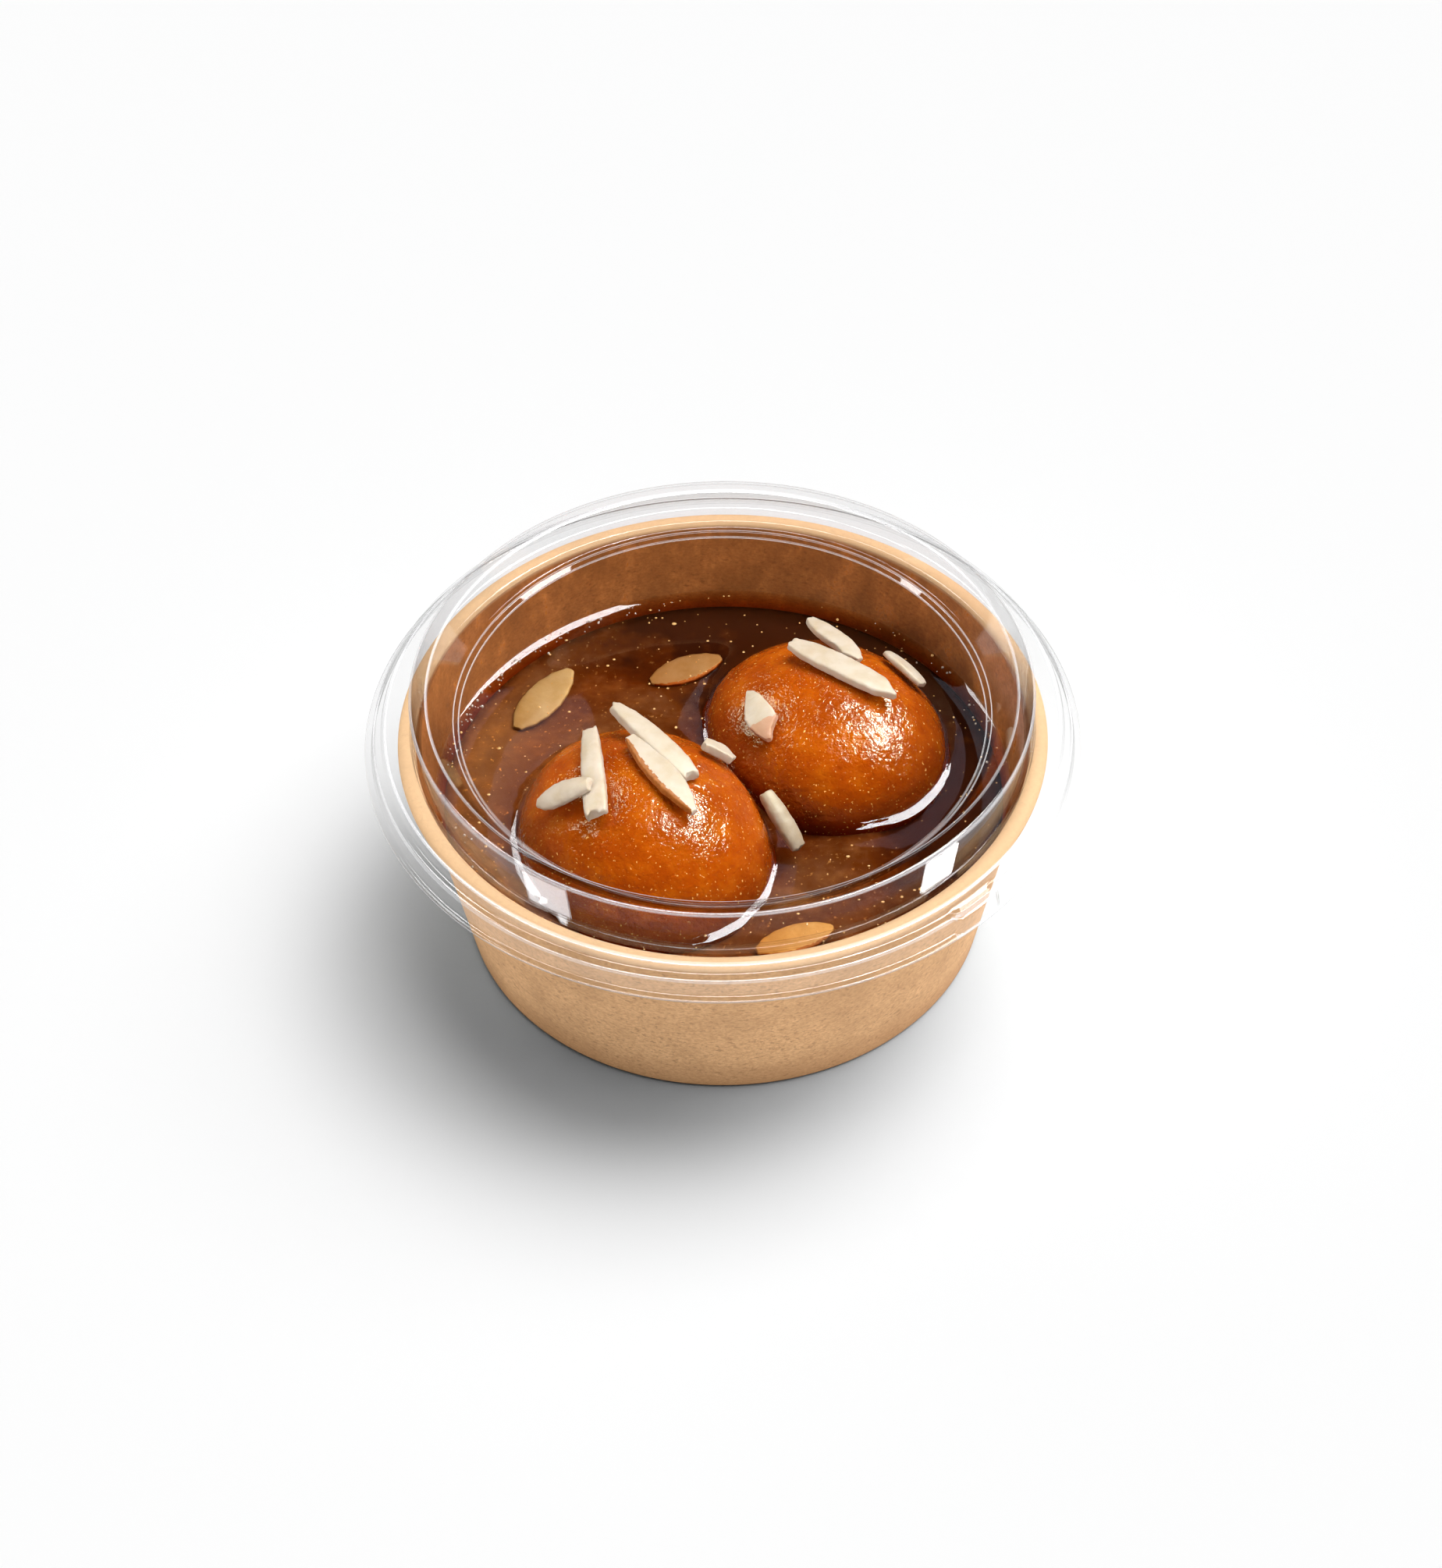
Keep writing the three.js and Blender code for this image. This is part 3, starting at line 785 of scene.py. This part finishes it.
def place_sliver(name, verts, faces, mid, axes, mats, skin_edge=False, node=None, reflection_tip=False):
    """Puts a sliver at its place; its second material is brown skin along one edge, or a pink painted
    reflection over its tip.
    """
    obj = make_object(name, mid + verts @ axes, faces, mats, "almond")
    half_length = verts[:, 0].max()
    for poly in obj.data.polygons:
        at = verts[list(poly.vertices)].mean(0)
        if skin_edge:
            edge = verts[np.abs(verts[:, 0] - at[0]) < 0.4][:, 1].min()
            wobble = 0.18 * noise.noise(Vector((at[0] * 1.3, 0, 5)))
            if at[1] < edge + 0.75 * (1 - (at[0] / half_length) ** 6) + wobble:
                poly.material_index = 1
        if reflection_tip:
            wobble = 0.12 * noise.noise(Vector((at[1] * 1.5, 0, 3)))
            if at[0] > half_length * (0.32 + wobble):
                poly.material_index = 1
    if node:
        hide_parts(node)


def build_almond(node, mats, skin_edge=False, fuller=1.08, reflection_tip=False, **style):
    """A sliver in place of an almond piece of the CAD model; fuller widens it to make up for its taper."""
    mid, axes, (length, width, thick) = pose_of(node)
    verts, faces = sliver_mesh(length, width * fuller, thick, **style)
    place_sliver(node + "_piece", verts, faces, mid, axes, mats, skin_edge, node, reflection_tip)


def build_almonds(skin):
    """The almond pieces of the CAD model, each with the outline that it shows."""
    both = [almond_material("almond_flesh"), skin]
    build_almond("almond_front_long", both, fuller=1.25, up=(0.45, 0.75, 0.92, 1, 1, 0.95, 0.66),
                 low=(0.45, 0.72, 0.88, 0.95, 1, 1, 0.86), ragged=0.25, bow=0.5, seed=1)
    build_almond("almond_front_skin", both, True, fuller=1.18, up=(0.35, 0.7, 0.92, 1, 0.95, 0.72, 0.28),
                 low=(0.4, 0.72, 0.95, 1, 0.92, 0.62, 0.2), bow=0.5, seed=2)
    build_almond("almond_front_upright", both, up=(0.62, 0.78, 0.88, 0.94, 1, 1, 0.92),
                 low=(0.6, 0.8, 0.9, 0.95, 1, 1, 0.95), ridge=0.45, ridge_at=0.1, ragged=0.4, seed=3)
    build_almond("almond_front_short", both, up=(0.3, 0.75, 0.95, 1, 0.9, 0.78, 0.5),
                 low=(0.3, 0.82, 1, 1, 0.9, 0.72, 0.5), ridge=0.3, ridge_at=-0.2, square=3, seed=4)
    build_almond("almond_chip_gap", both, up=(0.2, 0.9, 0.85, 0.7, 0.85, 0.9, 0.4),
                 low=(0.2, 0.35, 0.6, 0.8, 0.9, 1, 0.5), crisp=True, ragged=0.3, square=7, seed=5)
    build_almond("almond_back_long", both, up=(0.5, 0.85, 0.97, 1, 1, 0.92, 0.14),
                 low=(0.5, 0.9, 1, 1, 0.95, 0.78, 0.12), bow=0.5, seed=6)
    build_almond("almond_back_behind", both, up=(0.35, 0.7, 0.9, 1, 1, 0.82, 0.3),
                 low=(0.4, 0.8, 1, 1, 0.8, 0.92, 0.3), ragged=0.3, seed=7)
    build_almond("almond_back_side", both, up=(0.5, 0.9, 1, 1, 1, 0.9, 0.6),
                 low=(0.5, 0.9, 1, 1, 1, 0.9, 0.6), square=3, seed=8)
    # The back chip's pink tip is a painted reflection.
    pink = [both[0], almond_material("almond_tip_reflection", (0.98, 0.66, 0.55))]
    build_almond("almond_back_chip", pink, reflection_tip=True, up=(0.15, 0.55, 0.75, 0.92, 1, 0.42, 0.1),
                 low=(0.2, 0.5, 0.75, 0.92, 0.8, 0.5, 0.1), crisp=True, ridge=0.3, ridge_at=0.3,
                 ragged=0.3, square=7, seed=9)
    wet = [almond_material("almond_wet", (0.78, 0.74, 0.68), 0.9), both[1]]
    build_almond("almond_between", wet, up=(0.7, 0.9, 1, 1, 1, 0.95, 0.8),
                 low=(0.7, 0.9, 1, 1, 1, 0.95, 0.8), ridge=0.25, ridge_at=-0.3, square=3, seed=10)


def build_sunk_almonds(skin):
    """Almond slices that lie under the syrup, seen through it."""
    lens = (0.25, 0.72, 0.95, 1, 0.92, 0.7, 0.25)
    thick = 1.2
    for i, (tail_at, head_at, width, tint) in enumerate(SUNK_ALMONDS):
        mats = [almond_material(f"almond_sunk_{i + 1}", tint, 1.0), skin]
        tail, head = (np.array([x, y, SYRUP_Z - depth]) for x, y, depth in (tail_at, head_at))
        length = np.linalg.norm(head - tail)
        along = (head - tail) / length
        across = np.cross([0, 0, 1], along)
        across /= np.linalg.norm(across)
        axes = np.array([along, across, np.cross(along, across)])
        verts, faces = sliver_mesh(length, width, thick, lens, lens, bow=0.2, seed=20 + i)
        middle = (tail + head) / 2
        place_sliver(f"almond_sunk_{i + 1}", verts, faces, middle, axes, mats, skin_edge=i > 0)


# ---------- bubbles and specks ----------


def blobs(name, places, mat, slot, flat=1.0):
    """One joined mesh of small rounded grains; places holds (point, radius) in millimetres. Grains that are
    flatter than balls get uneven sizes too."""
    rings, segs = 5, 9
    verts, faces = [], []
    for at, r in places:
        base = len(verts)
        squash = np.array([1, 1, flat]) * r * (1 + 0.25 * rng.standard_normal(3) * (flat != 1))
        verts.append(at + squash * (0, 0, -1))
        for i in range(1, rings):
            polar = math.pi * i / rings
            for k in range(segs):
                ring = (*on_circle(math.sin(polar), 2 * math.pi * k / segs), -math.cos(polar))
                verts.append(at + squash * ring)
        verts.append(at + squash * (0, 0, 1))
        last = len(verts) - 1
        for k in range(segs):
            n = (k + 1) % segs
            faces.append((base, base + 1 + n, base + 1 + k))
            faces.append((last, last - segs + k, last - segs + n))
            for i in range(rings - 2):
                p, q = base + 1 + i * segs, base + 1 + (i + 1) * segs
                faces.append((p + k, p + n, q + n, q + k))
    return make_object(name, verts, faces, [mat], slot)


def surface_finder(syrup, foods):
    """A function that gives the height of the open syrup at (x, y), or nothing where food stands on it."""
    pool = tree_of(syrup)
    covers = [tree_of(food) for food in foods]
    down = Vector((0, 0, -1))

    def height_at(x, y):
        start = Vector((x, y, 60)) * MM
        if any(cover.ray_cast(start, down)[0] for cover in covers):
            return None
        hit = pool.ray_cast(start, down)[0]
        return hit.z / MM if hit else None

    return height_at


def build_bubbles(height_at):
    """Foam bubbles along the wall; their pale colour is partly their own and partly a painted glint."""
    foam_glint = Shader("syrup_foam_glint")
    # Partly painted glint: the bubbles' pale colour stands in for some of their shine.
    foam_glint.surface(Base_Color=(0.60, 0.50, 0.43), Roughness=0.15, Coat_Weight=0.7, Coat_Roughness=0.03)
    wall = wall_radius(SYRUP_Z) - PAPER
    bubbles = []
    for count, middle, spread, inset in FOAM_ZONES:
        for _ in range(count):
            a = math.radians(middle + spread * rng.standard_normal() * 0.7)
            r = wall - 0.5 - abs(rng.standard_normal()) * inset
            x, y = on_circle(r, a)
            z = height_at(x, y)
            if z:
                bubbles.append((np.array([x, y, z]), 0.12 + 0.22 * rng.random() ** 2))
    blobs("syrup_bubbles", bubbles, foam_glint.mat, "syrup")


def build_specks(height_at):
    """Golden specks of spice all over the syrup."""
    spice = Shader("spice_speck")
    spice.surface(Base_Color=(0.80, 0.46, 0.16), Roughness=0.35, Coat_Weight=0.6)
    wall = wall_radius(SYRUP_Z) - PAPER
    specks = []
    while len(specks) < SPECK_COUNT:
        a, r = rng.uniform(0, 2 * math.pi), wall * math.sqrt(rng.random())
        x, y = on_circle(r, a)
        z = height_at(x, y)
        if z:
            specks.append((np.array([x, y, z - 0.1]), 0.10 + 0.20 * rng.random() ** 3))
    blobs("spice_specks", specks, spice.mat, "syrup", 0.5)


# ---------- stage ----------


def aim_from(obj, azimuth, elevation, distance):
    """Puts a lamp on the sphere round the bowl and turns it to face the bowl."""
    az, el = math.radians(azimuth), math.radians(elevation)
    aim = Vector((0, 0, 0.03))
    away = Vector((math.cos(el) * math.cos(az), math.cos(el) * math.sin(az), math.sin(el)))
    obj.location = aim + distance * away
    obj.rotation_euler = away.to_track_quat("Z", "Y").to_euler()
    bpy.context.scene.collection.objects.link(obj)


def soft_sun(name, azimuth, elevation, share):
    """Even soft light over the whole table; a share of 1 straight from above lights white paper to 1."""
    sun = bpy.data.lights.new(name, "SUN")
    sun.energy = math.pi * share
    sun.angle = math.radians(44)
    obj = bpy.data.objects.new(name, sun)
    aim_from(obj, azimuth, elevation, 2)
    obj.visible_glossy = False


def softbox(name, azimuth, elevation, distance, size, brightness, receivers, colour=(1, 1, 1)):
    """A rectangular lamp that lights only what is in receivers, and not the table."""
    light = bpy.data.lights.new(name, "AREA")
    light.shape = "RECTANGLE"
    light.size, light.size_y = size
    light.energy = brightness * math.pi * size[0] * size[1]
    light.color = colour
    obj = bpy.data.objects.new(name, light)
    aim_from(obj, azimuth, elevation, distance)
    obj.light_linking.receiver_collection = receivers
    return obj


def shine(*where, **how):
    """A softbox that only shows as a reflection."""
    softbox(*where, **how).visible_diffuse = False


def fill(*where):
    """A softbox that lights everything softly and never shows as a reflection."""
    softbox(*where, receivers=product).visible_glossy = False


def build_camera():
    """The camera: a long lens above the front, aimed beside the bowl's middle and rolled a little."""
    target = Vector((0, 0, 0.030))
    distance = 0.6171
    elevation = math.radians(45.3)
    roll = math.radians(-0.883)
    pan, tilt = -0.0007, -0.0023
    eye = target + distance * Vector((0, -math.cos(elevation), math.sin(elevation)))
    ahead = (target - eye).normalized()
    right = Vector((1, 0, 0))
    up = right.cross(ahead)
    ahead = (ahead + pan * right + tilt * up).normalized()
    right = ahead.cross(Vector((0, 0, 1))).normalized()
    up = right.cross(ahead)
    c, s = on_circle(1, roll)
    right, up = c * right + s * up, c * up - s * right
    cam = bpy.data.cameras.new("camera")
    cam.sensor_fit = "HORIZONTAL"
    cam.sensor_width = 36
    cam.lens = 84.8805
    cam.clip_start = 0.01
    obj = bpy.data.objects.new("camera", cam)
    obj.matrix_world = Matrix((
        (right.x, up.x, -ahead.x, eye.x),
        (right.y, up.y, -ahead.y, eye.y),
        (right.z, up.z, -ahead.z, eye.z),
        (0, 0, 0, 1),
    ))
    bpy.context.scene.collection.objects.link(obj)
    bpy.context.scene.camera = obj


def build_floor():
    """A plain pale table, just under the bowl and wide enough to fill every view."""
    half, height = 12.0, -0.0002
    corners = [(-half, -half, height), (half, -half, height), (half, half, height), (-half, half, height)]
    mesh = bpy.data.meshes.new("floor")
    mesh.from_pydata(corners, [], [(0, 1, 2, 3)])
    s = Shader("studio_floor")
    s.surface(Base_Color=(0.955, 0.955, 0.955), Roughness=0.9, Specular_IOR_Level=0.1)
    mesh.materials.append(s.mat)
    obj = bpy.data.objects.new("floor", mesh)
    bpy.context.scene.collection.objects.link(obj)


def build_world():
    """A faint glow low round the horizon and none overhead, times the background's own dark grey; plain
    colours; and enough see-through steps for light to pass the lid's many walls."""
    world = bpy.data.worlds.new("studio")
    world.use_nodes = True
    tree = world.node_tree
    ways = tree.nodes.new("ShaderNodeTexCoord").outputs["Generated"]
    split = tree.nodes.new("ShaderNodeSeparateXYZ")
    tree.links.new(ways, split.inputs[0])
    glow = tree.nodes.new("ShaderNodeMapRange")
    tree.links.new(split.outputs["Z"], glow.inputs["Value"])
    for socket, value in (("From Min", 0.15), ("From Max", 0.42), ("To Min", 1.25), ("To Max", 0.0)):
        glow.inputs[socket].default_value = value
    tree.links.new(glow.outputs["Result"], tree.nodes["Background"].inputs["Strength"])
    bpy.context.scene.world = world
    bpy.context.scene.cycles.transparent_max_bounces = 48
    view = bpy.context.scene.view_settings
    view.view_transform = "Standard"
    view.look = "None"
    view.exposure = 0.0


def build_lights():
    """A broad soft light from the back right, and softboxes for the gloss of lid, syrup and food."""
    soft_sun("soft_back_right", 60, 68, 0.50)
    soft_sun("soft_right", 2, 68, 0.31)
    soft_sun("soft_low_right", 32, 50, 0.30)
    soft_sun("soft_back_left", 120, 40, 0.07)

    warm, pale, blue, lilac = (0.95, 1.0, 0.68), (0.88, 1.0, 0.80), (0.80, 0.85, 1.0), (0.85, 0.80, 1.0)
    shine("main_softbox", 40, 58, 1.0, (0.42, 0.52), 5.0, food_only, colour=warm)
    shine("syrup_softbox", 40, 58, 1.0, (0.44, 0.54), 26.0, syrup_only)
    shine("left_softbox", 140, 42, 0.8, (0.42, 0.36), 9.0, food_only, colour=warm)
    shine("syrup_softbox_left", 140, 42, 0.8, (0.42, 0.36), 14.0, syrup_only)
    shine("syrup_sheen_left", 116.5, 45, 1.0, (0.56, 0.3), 0.8, syrup_only, colour=blue)
    shine("syrup_sheen_right", 60, 45, 1.0, (0.56, 0.3), 0.7, syrup_only, colour=lilac)
    shine("accent", 49, 49, 0.8, (0.16, 0.18), 75.0, food_only, colour=pale)
    shine("accent_low", 22, 55, 0.8, (0.11, 0.13), 85.0, food_only, colour=pale)

    fill("top_fill", 30, 65, 1.0, (0.5, 0.5), 4.6)
    fill("left_soft", 170, 40, 1.0, (0.5, 0.5), 4.4)
    fill("left_fill", -140, 20, 1.2, (0.6, 0.4), 9.5)
    fill("right_fill", -25, 20, 1.2, (0.6, 0.4), 14.0)

    shine("lid_card_right", 8, 50, 1.0, (0.5, 0.3), 10.0, lid_only)
    shine("lid_card_left", 165, 50, 1.0, (0.4, 0.3), 9.0, lid_only)
    shine("lid_card_front", -90, 46, 1.3, (1.7, 0.5), 8.0, lid_only)
    shine("lid_line", -28, 38, 1.0, (0.8, 0.28), 15.0, lid_only)
    shine("ring_card_left", -148.6, 32.6, 0.8, (0.3, 0.24), 6.0, lid_only)
    shine("ring_card_right", -14, 26, 0.8, (0.3, 0.14), 3.3, lid_only)


def share_out_light():
    """Puts each piece in the collections that the softboxes light; the lid is in its own already."""
    for piece in bpy.context.scene.objects:
        if piece.type != "MESH" or piece.name == "floor":
            continue
        product.objects.link(piece)
        if piece.name.startswith("syrup"):
            syrup_only.objects.link(piece)
        elif piece.name != "clear_lid":
            food_only.objects.link(piece)


product = bpy.data.collections.new("product")
lid_only = bpy.data.collections.new("lid_only")
syrup_only = bpy.data.collections.new("syrup_only")
food_only = bpy.data.collections.new("food_only")

build_camera()
build_world()
build_floor()
build_lights()
build_bowl()
build_lid()
dumplings = [build_jamun("jamun_front", 11.0, 0.55), build_jamun("jamun_back", 37.0, 0.9)]
pool = build_syrup(dumplings)
almond_skin = almond_skin_material()
build_almonds(almond_skin)
build_sunk_almonds(almond_skin)
find_height = surface_finder(pool, dumplings)
build_bubbles(find_height)
build_specks(find_height)
share_out_light()
